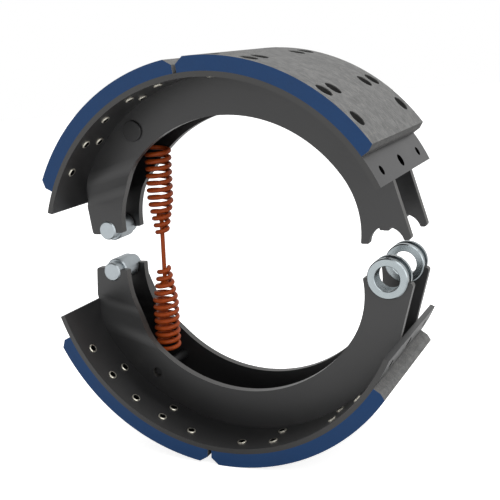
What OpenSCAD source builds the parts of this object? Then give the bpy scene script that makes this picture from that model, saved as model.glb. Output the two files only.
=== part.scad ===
// Pair of drum brake shoes for a heavy trailer axle, linked by their return spring.
// X runs from the cam end to the anchor end, Y runs along the drum's axis and Z is up.
// The origin is on the anchor pin's axis, midway between the two anchor bushes.
// Both shoes are the same part: the lower one is the upper one turned over about X.

/* [Drum and anchor] */
// How far the anchor pin's axis lies inside the friction face along X
anchor_inset = 46.6; // [44:0.2:50]
// Height of the upper shoe's anchor seats over the middle plane, as far as the bushes lie below it
anchor_lift = 16.2; // [14:0.2:20]
// How far each shoe's arc centre lies past the drum's axis with the brake released
shoe_inset = 2.45; // [1:0.05:4]

/* [Shoe table] */
// Width of the shoe across the drum
shoe_w = 180; // [150:1:220]
// Radius of the linings' friction face
lining_r = 209; // [206:0.5:212]
// Thickness of a new lining
lining_t = 14.7; // [12:0.1:18]
// Thickness of the table plate under the linings
table_t = 5.3; // [4:0.1:7]
// Angle of the table's end near the anchor, from +X
table_a0 = 25.3; // [24:0.1:27]
// Angle of the table's end near the cam
table_a1 = 162.3; // [160:0.1:163]
// Angle of the row of three holes near the table's anchor end
end_hole_a = 29.2; // [28.5:0.1:31]
// Diameter of the middle end hole
end_hole_mid_d = 12.5; // [8:0.5:14]
// Diameter of the two outer end holes
end_hole_side_d = 9.5; // [6:0.5:12]
// Distance of the outer end holes from the middle one
end_hole_pitch = 64; // [45:1:68]

/* [Linings] */
// Angle at which the anchor lining starts
anchor_lining_a0 = 34.8; // [34:0.1:37]
// Angle at which the anchor lining ends
anchor_lining_a1 = 95.1; // [94:0.1:95.5]
// Angle at which the cam lining starts
cam_lining_a0 = 96.35; // [95.9:0.05:97]
// Angle at which the cam lining ends
cam_lining_a1 = 155.2; // [154:0.1:157]
// Depth of the chamfers on the lining ends, measured along the radius
lining_chamfer_h = 6.5; // [3:0.5:9]
// Length of the chamfers on each side of the gap between the linings
gap_chamfer = 8.6; // [4:0.2:11]
// Length of the chamfer on the cam lining's free end
cam_end_chamfer = 6.8; // [3:0.2:9]
// Length of the chamfer on the anchor lining's free end
anchor_end_chamfer = 3; // [1:0.2:6]

/* [Rivets] */
// Diameter of a rivet's shank
rivet_d = 8; // [6:0.5:9]
// Diameter of a rivet's head
rivet_head_d = 16; // [12:0.5:17]
// Thickness of a rivet's head
rivet_head_t = 2.5; // [1.5:0.1:3.5]
// Diameter of the bore in a rivet's tail
rivet_bore_d = 5; // [3:0.25:5.5]
// Diameter of a rivet's rolled tail
rivet_tail_d = 9.6; // [9.2:0.2:12]
// Height of a rivet's rolled tail
rivet_tail_h = 1.3; // [0.8:0.1:2]
// Depth of a rivet's bore past the table's inner face
rivet_bore_in = 3; // [2:0.5:5]
// Chamfer on a rivet's head
rivet_chamfer = 0.8; // [0.4:0.1:1.2]
// Diameter of the counterbore over each rivet
counterbore_d = 18; // [17.4:0.2:20]
// Thickness of lining that each rivet head clamps
rivet_seat_t = 6; // [4:0.5:8]
// Angle from one rivet row to the next
rivet_row_a = 10.9; // [10.2:0.1:11.1]
// Angle of the first rivet row from the cam end
cam_row_a = 148.4; // [147.8:0.1:149]
// Angle of the first rivet row of the anchor lining
anchor_row_a = 43.3; // [42.8:0.1:44]
// Distance of the outer rivets from the shoe's middle
rivet_outer_y = 73; // [65:1:78]
// Distance of the inner rivets from the shoe's middle
rivet_inner_y = 48; // [45:1:53]

/* [Webs] */
// Thickness of a web plate
web_t = 8; // [6:0.5:10]
// Distance between the middle planes of the two webs
web_pitch = 62; // [56:1:68]
// Depth of a web from the table to its inner edge
web_depth = 41; // [37:1:46]
// How far the arcs that run down into the legs are centred from the arc centre
leg_arc_shift = 58; // [50:1:66]
// Angle at which the inner edge turns down into the anchor leg
anchor_turn_a = 35; // [33:0.5:37]
// Angle at which the inner edge turns down into the cam leg
cam_turn_a = 148; // [146:0.5:150]
// Spread of the web's middle planes at the cam ends
cam_web_pitch = 37; // [33:0.5:41]
// Slant of the bend lines from X
bend_a = 14.8; // [12:0.2:17]
// How far the lower bend line lies under the table's crown, square to the line
bend_drop = 86.6; // [83:0.2:91]
// Distance between the two bend lines
bend_run = 20.8; // [18:0.2:24]
// Inside radius of the bends
bend_r = 22; // [14:1:28]

/* [Anchor legs] */
// Radius of the half-round seat for an anchor bush
seat_r = 17.6; // [16:0.1:18.4]
// How far the inner leg stops short of the seat's centre line
inner_leg_gap = 0.5; // [0.3:0.1:1.5]
// How far the outer leg stops short of the seat's centre line
outer_leg_gap = 4.8; // [3.5:0.1:6]
// Reach of the outer leg's tip past the seat's centre
outer_leg_reach = 24.7; // [23:0.1:26]
// Width of the nib in the seat
nib_w = 7; // [5:0.5:9]
// Corner radius of the leg tips
tip_r = 1.6; // [1:0.1:2.4]

/* [Cam rollers] */
// How far the rollers' axes lie inside the friction face along X
cam_inset = 50.7; // [49:0.1:53]
// Distance between the two rollers' axes
roller_spacing = 47; // [42:0.5:52]
// Diameter of a roller's body
roller_d = 26; // [23:0.5:30]
// Diameter of a roller's journals
journal_d = 20.6; // [18:0.2:22]
// Length of a roller over its journals
roller_len = 48; // [46:0.5:50]
// Chamfer on a roller's edges
roller_chamfer = 1.2; // [0.5:0.1:1.6]
// How far the lip outside the roller reaches past its centre
outer_lip = 4.5; // [3:0.1:5.5]
// How far the lip inside the roller reaches past its centre
inner_lip = 2.45; // [1.5:0.05:4]
// How far the cam leg's outer edge starts inside the table's heel
heel_in = 1.9; // [1:0.1:3]
// How far the cam leg's outer edge lies outside the table's heel where the two meet
heel_out = 1.5; // [1:0.1:2]
// How far under the table's heel the cam leg's outer edge meets the table
heel_drop = 4; // [3:0.5:5]

/* [Anchor bushes] */
// Bore of a bush, for the anchor pin
anchor_pin_d = 25.4; // [22:0.2:26]
// Outer diameter of a bush's flanges
flange_d = 40.6; // [38:0.2:44]
// Length of a bush
bush_len = 19; // [16:0.5:24]
// Chamfer on a bush's edges
bush_chamfer = 1; // [0.4:0.1:1.6]

/* [Spring pins] */
// Distance of the spring pins from the table's inner face
pin_inset = 17.2; // [15:0.2:20]
// Angle of the spring pins from the arc centre
pin_a = 128; // [127:0.2:129]
// Diameter of a spring pin
pin_d = 10.6; // [9:0.2:14]
// Diameter of a spring pin's head
pin_head_d = 22; // [19:0.5:24]
// Thickness of a spring pin's head, which lies on a web's outer face
pin_head_t = 2.6; // [2:0.1:4]
// Depth of a pin's tail under the other web's face
tail_recess = 4.2; // [3:0.1:5]
// Chamfer on a pin's tail
pin_chamfer = 1; // [0.4:0.2:1.6]

/* [Return springs] */
// Diameter of the springs' wire
wire_d = 5; // [4:0.1:5.2]
// Outer diameter of the springs' coils
coil_d = 29; // [26:0.5:32]
// Turns of the upper spring's coil
upper_turns = 11.94; // [8.94:0.5:12.94]
// Turns of the lower spring's coil
lower_turns = 11.61; // [8.61:0.5:12.61]
// Outer diameter of a coil's narrow end
taper_d = 15.6; // [15.4:0.2:18]
// Share of a coil's length that tapers
taper_share = 0.4; // [0.36:0.02:0.5]
// Angle round the spring's axis at which a coil's wide end stands
coil_end_a = 160; // [140:5:170]
// How far each hook wraps round its pin
hook_wrap_a = 170; // [130:10:200]
// Height of the springs' shanks, from each pin to the end of its coil
shank_len = 19.63; // [18:0.01:24]
// How far the middle between the springs lies under the middle plane
spring_drop = 2.7; // [0:0.1:4]
// Distance of the springs' middle from the line between the pins
spring_offset = 2.1; // [0:0.1:3]
// Lean of the springs' axis, away from the anchor at its lower end
spring_lean = 2.8; // [2:0.1:3.5]

/* [Spring link] */
// Length of the link rod that shows between the two springs
link_len = 40; // [32:1:50]
// Diameter of the link rod
link_d = 4.8; // [3.5:0.1:4.8]
// Diameter of the link rod's heads
link_head_d = 11; // [9.5:0.1:11.2]
// Length of the cone under each head
link_cone_len = 4; // [2:0.5:6]
// Thickness of the link rod's heads
link_head_t = 4; // [2.5:0.5:6]
// Chamfer on the link rod's heads
link_chamfer = 1; // [0.4:0.1:1.6]

/* [Clearances] */
// Radial clearance of journals, bushes and pins in their seats
running_gap = 0.1; // [0.05:0.01:0.1]
// Radial clearance of the rivets in their holes
rivet_gap = 0.1; // [0.05:0.05:0.3]
// Side clearance of the nib in a bush's keyway, enough for the shoe's swing
nib_play = 1.7; // [1.6:0.1:2.2]
// Clearance round the link rod's heads, where they sit in the springs' narrow ends
link_gap = 0.4; // [0.3:0.05:0.8]
// Side clearance of a roller's body between the webs
roller_side_gap = 0.75; // [0.4:0.05:1.5]

/* [Hidden] */
$fn = 96;

far = 2 * lining_r;

// Two round edges that would only touch are made to cross by this much, so that they join cleanly
lap = 0.003;
table_r_out = lining_r - lining_t;
table_r_in = table_r_out - table_t;
rivet_floor_r = table_r_out + rivet_seat_t;
anchor_x = lining_r - anchor_inset;
cam_x = lining_r - cam_inset;
pin_r = table_r_in - pin_inset;
web_inner_r = table_r_in - web_depth;
leg_inner_r = web_inner_r - leg_arc_shift;
bend_low = table_r_in - bend_drop;

// Places on a shoe, in its own XZ plane with the arc centre as origin
seat_c = [anchor_x, anchor_lift + shoe_inset];
roller_c = [-cam_x, roller_spacing / 2 + shoe_inset];
pin_c = pin_r * [cos(pin_a), sin(pin_a)];
anchor_leg_c = leg_arc_shift * [cos(anchor_turn_a), sin(anchor_turn_a)];
cam_leg_c = leg_arc_shift * [cos(cam_turn_a), sin(cam_turn_a)];
table_tip = table_r_in * [cos(table_a0), sin(table_a0)];
table_heel = table_r_in * [cos(table_a1), sin(table_a1)];
inner_tip_z = seat_c.y + inner_leg_gap;
outer_tip_z = seat_c.y + outer_leg_gap;
outer_lip_z = roller_c.y - outer_lip;
inner_lip_z = roller_c.y - inner_lip;

// How far the web's outline is drawn into its window, which then cuts it back
tuck = web_depth / 4;

// Across the web: outer face of the plate at the anchor end, inner face at the cam end
web_outer_y = web_pitch / 2 + web_t / 2;
web_inner_y = web_outer_y - web_t;
cam_outer_y = cam_web_pitch / 2 + web_t / 2;
cam_inner_y = cam_outer_y - web_t;
bend_high = bend_low + bend_run;
bend_half = atan((web_outer_y - cam_outer_y) / bend_run) / 2;
bend_shift = web_t * tan(bend_half);

// The bush is a spool: its neck fills the seat and its keyways take the nibs
neck_r = seat_r - running_gap;
keyway_r = anchor_pin_d / 2 + 0.8;
nib_end_r = keyway_r + 0.3;
keyway_turn = atan(anchor_lift / (anchor_x + cam_x)) / 2;

notch_r = journal_d / 2 + running_gap;
pin_hole_d = pin_d + 2 * running_gap;

function unit(v) = v / norm(v);
function at_angle(a) = [cos(a), sin(a)];

// Moves a piece drawn in a shoe's frame to the upper or the lower shoe
module upper() translate([-anchor_x, 0, anchor_lift - shoe_inset]) children();
module lower() translate([-anchor_x, 0, anchor_lift + shoe_inset]) rotate([180, 0, 0]) children();

// Extrudes an outline of the XZ plane across the shoe, from y0 to y1
module across(y0, y1) translate([0, y1, 0]) rotate([90, 0, 0]) linear_extrude(y1 - y0) children();

// Turns a piece drawn upright so that its +Z points out along the radius at angle a
module along_radius(a, y) rotate([0, -a, 0]) translate([0, y, 0]) rotate([0, 90, 0]) children();

// Sliver between a corner at q and a round of radius r that touches both of its sides
module corner_sliver(p, q, s, r) {
  a = unit(p - q);
  b = unit(s - q);
  half = acos(a * b) / 2;
  reach = r / tan(half);
  centre = q + unit(a + b) * r / sin(half);
  difference() {
    polygon([q - unit(a + b) * min(r / 2, 3), q + a * reach, centre, q + b * reach]);
    translate(centre) circle(r + lap);
  }
}

// Polygon whose corners are rounded: outer corners lose a sliver, inner ones gain it
module soft_polygon(pts, radii) {
  n = len(pts);
  turn = [for (i = [0:n - 1]) let (a = pts[i] - pts[(i + n - 1) % n], b = pts[(i + 1) % n] - pts[i])
    a.x * b.y - a.y * b.x];
  difference() {
    union() {
      polygon(pts);
      for (i = [0:n - 1]) if (radii[i] > 0 && turn[i] < 0)
        corner_sliver(pts[(i + n - 1) % n], pts[i], pts[(i + 1) % n], radii[i]);
    }
    for (i = [0:n - 1]) if (radii[i] > 0 && turn[i] > 0)
      corner_sliver(pts[(i + n - 1) % n], pts[i], pts[(i + 1) % n], radii[i]);
  }
}

// Sliver that rounds a leg's corner between its level tip at height z and a round edge
// of centre c and radius rc. The leg lies on the side given by side, +1 or -1.
module tip_sliver(z, c, rc, side, r) {
  centre = [c.x + side * sqrt(pow(rc + r, 2) - pow(z + r - c.y, 2)), z + r];
  corner = [c.x + side * sqrt(rc * rc - pow(z - c.y, 2)), z];
  difference() {
    polygon([corner - r * [side, 1], [centre.x, z - r], centre, c + (rc - r) * unit(centre - c)]);
    translate(centre) circle(r + lap);
  }
}

// Wedge of the plane between two angles, as wide as the shoe
module wedge(a0, a1) {
  polygon([[0, 0], far * at_angle(a0), far * at_angle((a0 + a1) / 2), far * at_angle(a1)]);
}

module band(r_in, r_out, a0, a1) intersection() {
  difference() {
    circle(r_out, $fn = 360);
    circle(r_in, $fn = 360);
  }
  wedge(a0, a1);
}

// Rows of rivets as [angle, y]: a row has two rivets, or four where it is a double one
function rivet_row(a, double) = [
  for (y = double ? [rivet_outer_y, rivet_inner_y] : [rivet_outer_y], side = [-1, 1]) [a, side * y]
];
cam_rivets = [for (i = [0:4]) each rivet_row(cam_row_a - i * rivet_row_a, i % 2 == 1)];
anchor_rivets = [for (i = [0, 1, 3, 4])
  each rivet_row(anchor_row_a + i * rivet_row_a, i % 2 == 1)];

module radial_holes(rows, d, r0, r1) {
  for (row = rows) along_radius(row[0], row[1]) translate([0, 0, r0]) cylinder(h = r1 - r0, d = d);
}

module table() color("dimgray") difference() {
  across(-shoe_w / 2, shoe_w / 2) band(table_r_in, table_r_out, table_a0, table_a1);
  radial_holes(concat(cam_rivets, anchor_rivets), rivet_d + 2 * rivet_gap, table_r_in - 2, table_r_out + 2);
  radial_holes([[end_hole_a, 0]], end_hole_mid_d, table_r_in - 2, table_r_out + 2);
  radial_holes([[end_hole_a, -end_hole_pitch], [end_hole_a, end_hole_pitch]], end_hole_side_d,
    table_r_in - 2, table_r_out + 2);
}

// Wedge that cuts a chamfer on a lining's end at angle a; dir is +1 where the lining lies past it
module lining_chamfer(a, dir, length) {
  low = (lining_r - lining_chamfer_h) * at_angle(a);
  along = dir * [-sin(a), cos(a)];
  polygon([low, lining_r * at_angle(a) + along * length, lining_r * at_angle(a) * 1.1 + along * length,
    lining_r * at_angle(a) * 1.1 - along * length, low - along * length]);
}

module lining(a0, a1, chamfer0, chamfer1, rows) color("slategray") difference() {
  across(-shoe_w / 2, shoe_w / 2) difference() {
    band(table_r_out, lining_r, a0, a1);
    lining_chamfer(a0, 1, chamfer0);
    lining_chamfer(a1, -1, chamfer1);
  }
  radial_holes(rows, rivet_d + 2 * rivet_gap, table_r_out - 1, rivet_floor_r + 1);
  radial_holes(rows, counterbore_d, rivet_floor_r, lining_r + 2);
}

module cam_lining() lining(cam_lining_a0, cam_lining_a1, gap_chamfer, cam_end_chamfer, cam_rivets);
module anchor_lining()
  lining(anchor_lining_a0, anchor_lining_a1, anchor_end_chamfer, gap_chamfer, anchor_rivets);

// Semi-tubular rivet: flat head on the counterbore's floor, tail rolled over inside the table
module rivet() {
  tail_top = sqrt(pow(table_r_in, 2) - pow(rivet_tail_d / 2, 2)) - 0.02;
  tail_low = tail_top - rivet_tail_h;
  roll = rivet_tail_h / 2;
  head_top = rivet_floor_r + rivet_head_t;
  rotate_extrude($fn = 48) {
    polygon([[rivet_bore_d / 2, tail_low + roll], [rivet_bore_d / 2 + roll, tail_low],
      [rivet_tail_d / 2 - roll, tail_low], [rivet_tail_d / 2, tail_low + roll],
      [rivet_tail_d / 2, tail_top], [rivet_d / 2, tail_top], [rivet_d / 2, rivet_floor_r],
      [rivet_head_d / 2, rivet_floor_r], [rivet_head_d / 2, head_top - rivet_chamfer],
      [rivet_head_d / 2 - rivet_chamfer, head_top], [0, head_top],
      [0, table_r_in + rivet_bore_in + 1], [rivet_bore_d / 2, table_r_in + rivet_bore_in]]);
  }
}

module rivets(rows) color("silver") for (row = rows) along_radius(row[0], row[1]) rivet();

// Space inside a web's inner edge: the big arc, and two smaller ones that run down the legs
module web_window() {
  intersection() {
    circle(web_inner_r, $fn = 360);
    wedge(anchor_turn_a, cam_turn_a);
  }
  translate(anchor_leg_c) circle(leg_inner_r + lap, $fn = 240);
  translate(cam_leg_c) circle(leg_inner_r + lap, $fn = 240);
}

// Half-round seat for an anchor bush, with the nib that keys the bush at its top
module anchor_seat() translate(seat_c) difference() {
  circle(seat_r);
  soft_polygon([[-nib_w / 2, nib_end_r], [nib_w / 2, nib_end_r], [nib_w / 2, seat_r + 1],
    [-nib_w / 2, seat_r + 1]], [tip_r, tip_r, 0, 0]);
}

module web_outline() {
  outer_tip = [seat_c.x + outer_leg_reach, outer_tip_z];
  above_table = outer_tip + (table_tip - outer_tip) * 1.4;
  heel_low = [table_heel.x + heel_in, outer_lip_z];
  heel_high = heel_low + (table_heel - [heel_out, heel_drop] - heel_low) * 2.2;
  difference() {
    intersection() {
      circle(table_r_in, $fn = 360);
      soft_polygon([[anchor_leg_c.x + leg_inner_r - tuck, inner_tip_z], [seat_c.x, inner_tip_z],
        [seat_c.x, outer_tip_z], outer_tip, above_table, [above_table.x, far], [heel_high.x, far],
        heel_high, heel_low, [roller_c.x, outer_lip_z], [roller_c.x, inner_lip_z],
        [cam_leg_c.x - leg_inner_r + tuck, inner_lip_z]],
        [0, 0, 0, 2 * tip_r, 0, 0, 0, 0, 2 * tip_r, 0, 0, 0]);
    }
    web_window();
    anchor_seat();
    translate(roller_c) circle(notch_r);
    translate(pin_c) circle(d = pin_hole_d);
    tip_sliver(inner_tip_z, anchor_leg_c, leg_inner_r, 1, tip_r);
    tip_sliver(inner_tip_z, seat_c, seat_r, -1, tip_r);
    tip_sliver(outer_tip_z, seat_c, seat_r, 1, tip_r);
    tip_sliver(inner_lip_z, cam_leg_c, leg_inner_r, -1, tip_r);
    tip_sliver(inner_lip_z, roller_c, notch_r, 1, tip_r / 2);
    tip_sliver(outer_lip_z, roller_c, notch_r, -1, tip_r / 2);
  }
}

// Plate that the web is cut from, drawn as [height over the bend lines, y] and run along them.
// It is flat on the anchor's side, and on the cam's side it steps inwards between the two lines.
module bent_plate() rotate([0, -bend_a, 0]) {
  rotate([0, 90, 0]) linear_extrude(far) translate([-far, -web_outer_y]) square([2 * far, web_t]);
  rotate([0, -90, 0]) linear_extrude(far)
    soft_polygon([[0, -cam_outer_y], [bend_low, -cam_outer_y], [bend_high, -web_outer_y],
      [far, -web_outer_y], [far, -web_inner_y], [bend_high + bend_shift, -web_inner_y],
      [bend_low + bend_shift, -cam_inner_y], [0, -cam_inner_y]],
      [0, bend_r, bend_r + web_t, 0, 0, bend_r, bend_r + web_t, 0]);
}

module front_web() color("dimgray") intersection() {
  across(-web_outer_y - 1, 1 - cam_inner_y) web_outline();
  bent_plate();
}

module rear_web() mirror([0, 1, 0]) front_web();

// Pin between the webs that carries a spring's hook; its head lies on the front web
module spring_pin() color("gray") translate([pin_c.x, 0, pin_c.y]) rotate([90, 0, 0]) {
  tail = web_outer_y - tail_recess;
  head = web_outer_y + running_gap;
  top = head + pin_head_t;
  rotate_extrude($fn = 48) polygon([[0, -tail], [pin_d / 2 - pin_chamfer, -tail],
    [pin_d / 2, pin_chamfer - tail], [pin_d / 2, head], [pin_head_d / 2, head],
    [pin_head_d / 2, top - pin_chamfer / 2], [(pin_head_d - pin_chamfer) / 2, top], [0, top]]);
}

// Roller that rides on the cam: a body between the webs and a journal in each web's notch
module cam_roller() color("lightsteelblue") translate([roller_c.x, 0, roller_c.y]) rotate([90, 0, 0]) {
  body = cam_inner_y - roller_side_gap;
  end = roller_len / 2;
  c = roller_chamfer;
  rotate_extrude() polygon([[0, -end], [journal_d / 2 - c, -end], [journal_d / 2, c - end],
    [journal_d / 2, -body], [roller_d / 2 - c, -body], [roller_d / 2, c - body],
    [roller_d / 2, body - c], [roller_d / 2 - c, body], [journal_d / 2, body],
    [journal_d / 2, end - c], [journal_d / 2 - c, end], [0, end]]);
}

// Cross-section of a bush's neck: it fills the seat, and its two keyways take the nibs
module neck_section() difference() {
  circle(neck_r);
  for (side = [0, 180]) rotate(side - keyway_turn)
    translate([-nib_w / 2 - nib_play, keyway_r]) square([nib_w + 2 * nib_play, seat_r]);
}

// Spool-shaped bush: a ring, turned down between its flanges to the neck
module anchor_bush(y) color("lightgray") translate([0, y, 0]) rotate([90, 0, 0]) {
  end = bush_len / 2;
  neck = web_t / 2 + running_gap;
  difference() {
    rotate_extrude() polygon([[anchor_pin_d / 2 + bush_chamfer / 2, -end],
      [flange_d / 2 - bush_chamfer, -end], [flange_d / 2, bush_chamfer - end],
      [flange_d / 2, end - bush_chamfer], [flange_d / 2 - bush_chamfer, end],
      [anchor_pin_d / 2 + bush_chamfer / 2, end], [anchor_pin_d / 2, end - bush_chamfer / 2],
      [anchor_pin_d / 2, bush_chamfer / 2 - end]]);
    translate([0, 0, -neck]) linear_extrude(2 * neck) difference() {
      circle(flange_d);
      neck_section();
    }
  }
}

// Return springs. Each one's wire is one path of [x, y, z] points: a hook round its pin, a shank, and
// a coil that narrows towards the link. For the lower spring, side is -1 and turns it over.
turn_steps = 16;
shank_steps = 6;
hook_step = 10;
wire_sides = 8;
upper_pin = [pin_c.x - anchor_x, 0, pin_c.y + anchor_lift - shoe_inset];
lower_pin = [upper_pin.x, 0, 2 * anchor_lift - upper_pin.z];
hook_r = pin_d / 2 + wire_d / 2 + 2 * running_gap;
spring_mid = [upper_pin.x + spring_offset, 0, anchor_lift - spring_drop];
axis_up = [sin(spring_lean), 0, cos(spring_lean)];
axis_across = [cos(spring_lean), 0, -sin(spring_lean)];
coils_len = upper_pin.z - lower_pin.z - 2 * shank_len;
coil_len = (coils_len - link_len) / 2;

function mix(a, b, t) = a + (b - a) * t;
function bezier(a, b, c, d, t) =
  let (u = 1 - t) u * u * u * a + 3 * u * u * t * b + 3 * u * t * t * c + t * t * t * d;

// Radius of a coil's wire at share u of its length, from the wide end to the narrow one
function coil_radius(u) =
  mix(coil_d - wire_d, taper_d - wire_d, max(0, (u - 1 + taper_share) / taper_share)) / 2;

function coil_point(u, turns, side) = let (a = coil_end_a - 360 * turns * u, r = coil_radius(u))
  spring_mid + side * (coils_len / 2 - u * coil_len) * axis_up
  + r * (cos(a) * axis_across + [0, side * sin(a), 0]);

function hook_point(pin, a, side) = pin + hook_r * [cos(a), 0, side * sin(a)];

// The shank leaves the hook straight and runs into the coil along the coil's own direction
function shank(pin, turns, side) = let (hook_end = hook_point(pin, 180, side),
    coil_end = coil_point(0, turns, side),
    back = unit(coil_end - coil_point(1 / turns / turn_steps, turns, side)) * wire_d)
  [for (i = [0:shank_steps - 1]) bezier(hook_end, hook_end - [0, 0, side * hook_r],
    coil_end + back, coil_end, i / shank_steps)];

function spring_wire(pin, turns, side) = let (steps = round(turns * turn_steps)) concat(
  [for (a = [180 - hook_wrap_a:hook_step:180 - hook_step]) hook_point(pin, a, side)],
  shank(pin, turns, side), [for (i = [0:steps]) coil_point(i / steps, turns, side)]);

function heading(wire, i) = unit(wire[min(i + 1, len(wire) - 1)] - wire[max(i - 1, 0)]);
function square_to(v, along) = unit(v - (v * along) * along);

// Tube round a path of points, with one side direction carried along the path without a twist
module swept_wire(wire) {
  last = len(wire) - 1;
  aside = [for (i = 0, v = [0, 1, 0]; i <= last;
    i = i + 1, v = i <= last ? square_to(v, heading(wire, i)) : v) v];
  points = [for (i = [0:last], j = [0:wire_sides - 1]) let (a = 360 * j / wire_sides)
    wire[i] + wire_d / 2 * (cos(a) * aside[i] + sin(a) * cross(heading(wire, i), aside[i]))];
  sides = [for (i = [0:last - 1], j = [0:wire_sides - 1])
    let (a = i * wire_sides + j, b = i * wire_sides + (j + 1) % wire_sides)
    each [[a, a + wire_sides, b + wire_sides], [a, b + wire_sides, b]]];
  caps = [[for (j = [0:wire_sides - 1]) j],
    [for (j = [wire_sides - 1:-1:0]) last * wire_sides + j]];
  polyhedron(points, concat(sides, caps));
}

module upper_return_spring() color("orangered") swept_wire(spring_wire(upper_pin, upper_turns, 1));
module lower_return_spring() color("orangered") swept_wire(spring_wire(lower_pin, lower_turns, -1));

// Rod that links the springs: each of its two heads is caught in a coil's narrow end
module spring_link() color("orangered") translate(spring_mid) rotate([0, spring_lean, 0]) {
  taper_len = taper_share * coil_len;
  rim = link_len / 2
    + taper_len * (link_head_d + 2 * wire_d + 2 * link_gap - taper_d) / (coil_d - taper_d);
  rotate_extrude($fn = 48) polygon([[0, -rim - link_head_t],
    [link_head_d / 2 - link_chamfer, -rim - link_head_t],
    [link_head_d / 2, link_chamfer - rim - link_head_t], [link_head_d / 2, -rim],
    [link_d / 2, link_cone_len - rim], [link_d / 2, rim - link_cone_len], [link_head_d / 2, rim],
    [link_head_d / 2, rim + link_head_t - link_chamfer],
    [link_head_d / 2 - link_chamfer, rim + link_head_t], [0, rim + link_head_t]]);
}

upper() table();  // upper_table
upper() front_web();  // upper_front_web
upper() rear_web();  // upper_rear_web
upper() cam_lining();  // upper_cam_lining
upper() anchor_lining();  // upper_anchor_lining
upper() rivets(cam_rivets);  // upper_cam_rivets
upper() rivets(anchor_rivets);  // upper_anchor_rivets
upper() cam_roller();  // upper_cam_roller
upper() spring_pin();  // upper_spring_pin
lower() table();  // lower_table
lower() rear_web();  // lower_front_web
lower() front_web();  // lower_rear_web
lower() cam_lining();  // lower_cam_lining
lower() anchor_lining();  // lower_anchor_lining
lower() rivets(cam_rivets);  // lower_cam_rivets
lower() rivets(anchor_rivets);  // lower_anchor_rivets
lower() cam_roller();  // lower_cam_roller
lower() spring_pin();  // lower_spring_pin
anchor_bush(-web_pitch / 2);  // front_anchor_bush
anchor_bush(web_pitch / 2);  // rear_anchor_bush
upper_return_spring();
lower_return_spring();
spring_link();
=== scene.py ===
# %% [markdown]
# # Two lined drum brake shoes
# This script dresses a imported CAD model: two brake shoes of a trailer axle, the springs that
# pull them together, their cam rollers and the bushes that they turn on. The CAD model is a
# fixed frame. Its bodies and sizes stay as they are, and everything here is put on or round it.

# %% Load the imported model
import math
import random
from functools import partial

import bpy
from mathutils import Matrix, Vector


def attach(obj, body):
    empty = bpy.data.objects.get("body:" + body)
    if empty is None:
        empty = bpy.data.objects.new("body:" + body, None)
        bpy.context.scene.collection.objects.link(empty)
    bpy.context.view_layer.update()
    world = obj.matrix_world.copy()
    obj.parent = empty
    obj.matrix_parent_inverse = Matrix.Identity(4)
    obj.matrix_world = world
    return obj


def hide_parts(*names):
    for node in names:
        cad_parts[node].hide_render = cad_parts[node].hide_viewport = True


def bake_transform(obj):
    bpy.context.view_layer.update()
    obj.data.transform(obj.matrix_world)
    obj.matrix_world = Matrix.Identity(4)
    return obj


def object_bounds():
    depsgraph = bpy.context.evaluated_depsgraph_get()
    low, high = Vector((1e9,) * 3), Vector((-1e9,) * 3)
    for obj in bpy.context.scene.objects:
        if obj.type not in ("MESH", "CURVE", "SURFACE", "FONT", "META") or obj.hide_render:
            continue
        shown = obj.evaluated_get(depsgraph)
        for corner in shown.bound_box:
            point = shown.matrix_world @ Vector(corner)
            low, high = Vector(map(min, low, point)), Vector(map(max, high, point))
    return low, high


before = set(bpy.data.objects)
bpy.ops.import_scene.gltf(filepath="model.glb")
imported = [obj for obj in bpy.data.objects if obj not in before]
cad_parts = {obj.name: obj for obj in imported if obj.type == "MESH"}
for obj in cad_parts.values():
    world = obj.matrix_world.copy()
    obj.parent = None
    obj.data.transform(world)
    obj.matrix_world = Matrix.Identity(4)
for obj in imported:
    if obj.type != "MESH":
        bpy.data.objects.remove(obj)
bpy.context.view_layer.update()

# %% [markdown]
# ## Places
# The frame is in metres, with its origin on the anchor pin's axis, X from the cam end to the
# anchor end, Y along the drum's axis and Z up. A texture that should run round the shoe needs
# the drum's axis, and a turned part needs its own axis. They are named once, in millimetres as
# on a drawing, and turned into metres by one factor.

# %% Name the places that pieces and textures share
MM = 0.001
DRUM_AXIS = Vector((-162.4, 0, 16.2)) * MM
UPPER_ARC = Vector((-162.4, 0, 13.75)) * MM
LOWER_ARC = Vector((-162.4, 0, 18.65)) * MM
TABLE_INNER_R = 189.0
print("drum axis at", [round(v, 4) for v in DRUM_AXIS])

# %% [markdown]
# ## Camera
# The picture looks at the shoes from the front right and a little above, with the camera rolled
# by some degrees. A camera could be aimed with a Track To constraint, but a roll is easier to
# set from its three axes: back, right and up. The lens angle comes from the focal length in
# pixels of a 500 pixel frame.

# %% Build the camera from its viewing direction
def put_in_scene(name, data):
    """A new object of the scene that holds a mesh, a light or a camera."""
    thing = bpy.data.objects.new(name, data)
    bpy.context.scene.collection.objects.link(thing)
    return thing


SENSOR = 36.0
FRAME_PX, FOCAL_PX = 500.0, 935.7
CAMERA_PLACE = Vector((251.7, -875.3, 230.2)) * MM
azimuth, elevation, roll = math.radians(25.21), math.radians(12.493), math.radians(-4.516)

back = Vector((math.sin(azimuth) * math.cos(elevation), -math.cos(azimuth) * math.cos(elevation),
               math.sin(elevation)))
level = Vector((0, 0, 1)).cross(back).normalized()
upright = back.cross(level)
right = math.cos(roll) * level + math.sin(roll) * upright
up = back.cross(right)

lens = bpy.data.cameras.new("camera")
lens.sensor_width = SENSOR
lens.lens = FOCAL_PX / FRAME_PX * SENSOR
camera = put_in_scene("camera", lens)
camera.matrix_world = Matrix.Translation(CAMERA_PLACE) @ Matrix((right, up, back)).transposed().to_4x4()
bpy.context.scene.camera = camera
print("lens", round(lens.lens, 2), "mm")

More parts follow.
